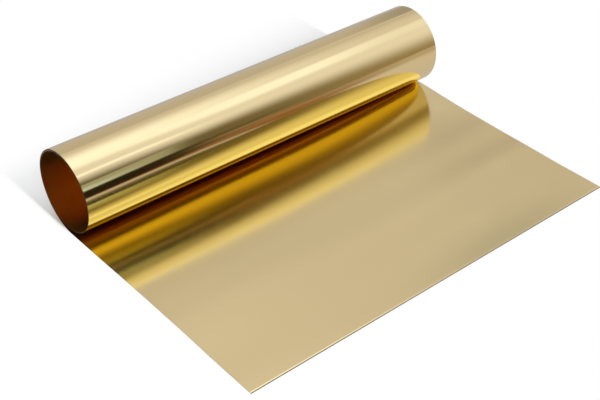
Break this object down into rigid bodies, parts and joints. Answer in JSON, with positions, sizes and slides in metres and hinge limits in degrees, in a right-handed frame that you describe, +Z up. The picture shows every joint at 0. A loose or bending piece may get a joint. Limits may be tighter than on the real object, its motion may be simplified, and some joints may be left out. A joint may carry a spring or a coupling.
{
  "type": "roll of brass sheet",
  "caption": "Thin brass sheet with its front lying flat and the rest wound into an open roll, for cutting, bending and shim stock.",
  "frame": {"origin": "middle of the footprint, on the surface that the sheet lies on", "axes": "+X along the roll, +Y from the free edge towards the roll, +Z up"},
  "size_m": [0.3, 0.2148, 0.0598],
  "materials": {
    "brass_sheet": "bright rolled, soft mirror"
  },
  "bodies": {
    "root": {"brass_sheet": "brass_sheet"}
  },
  "joints": []
}
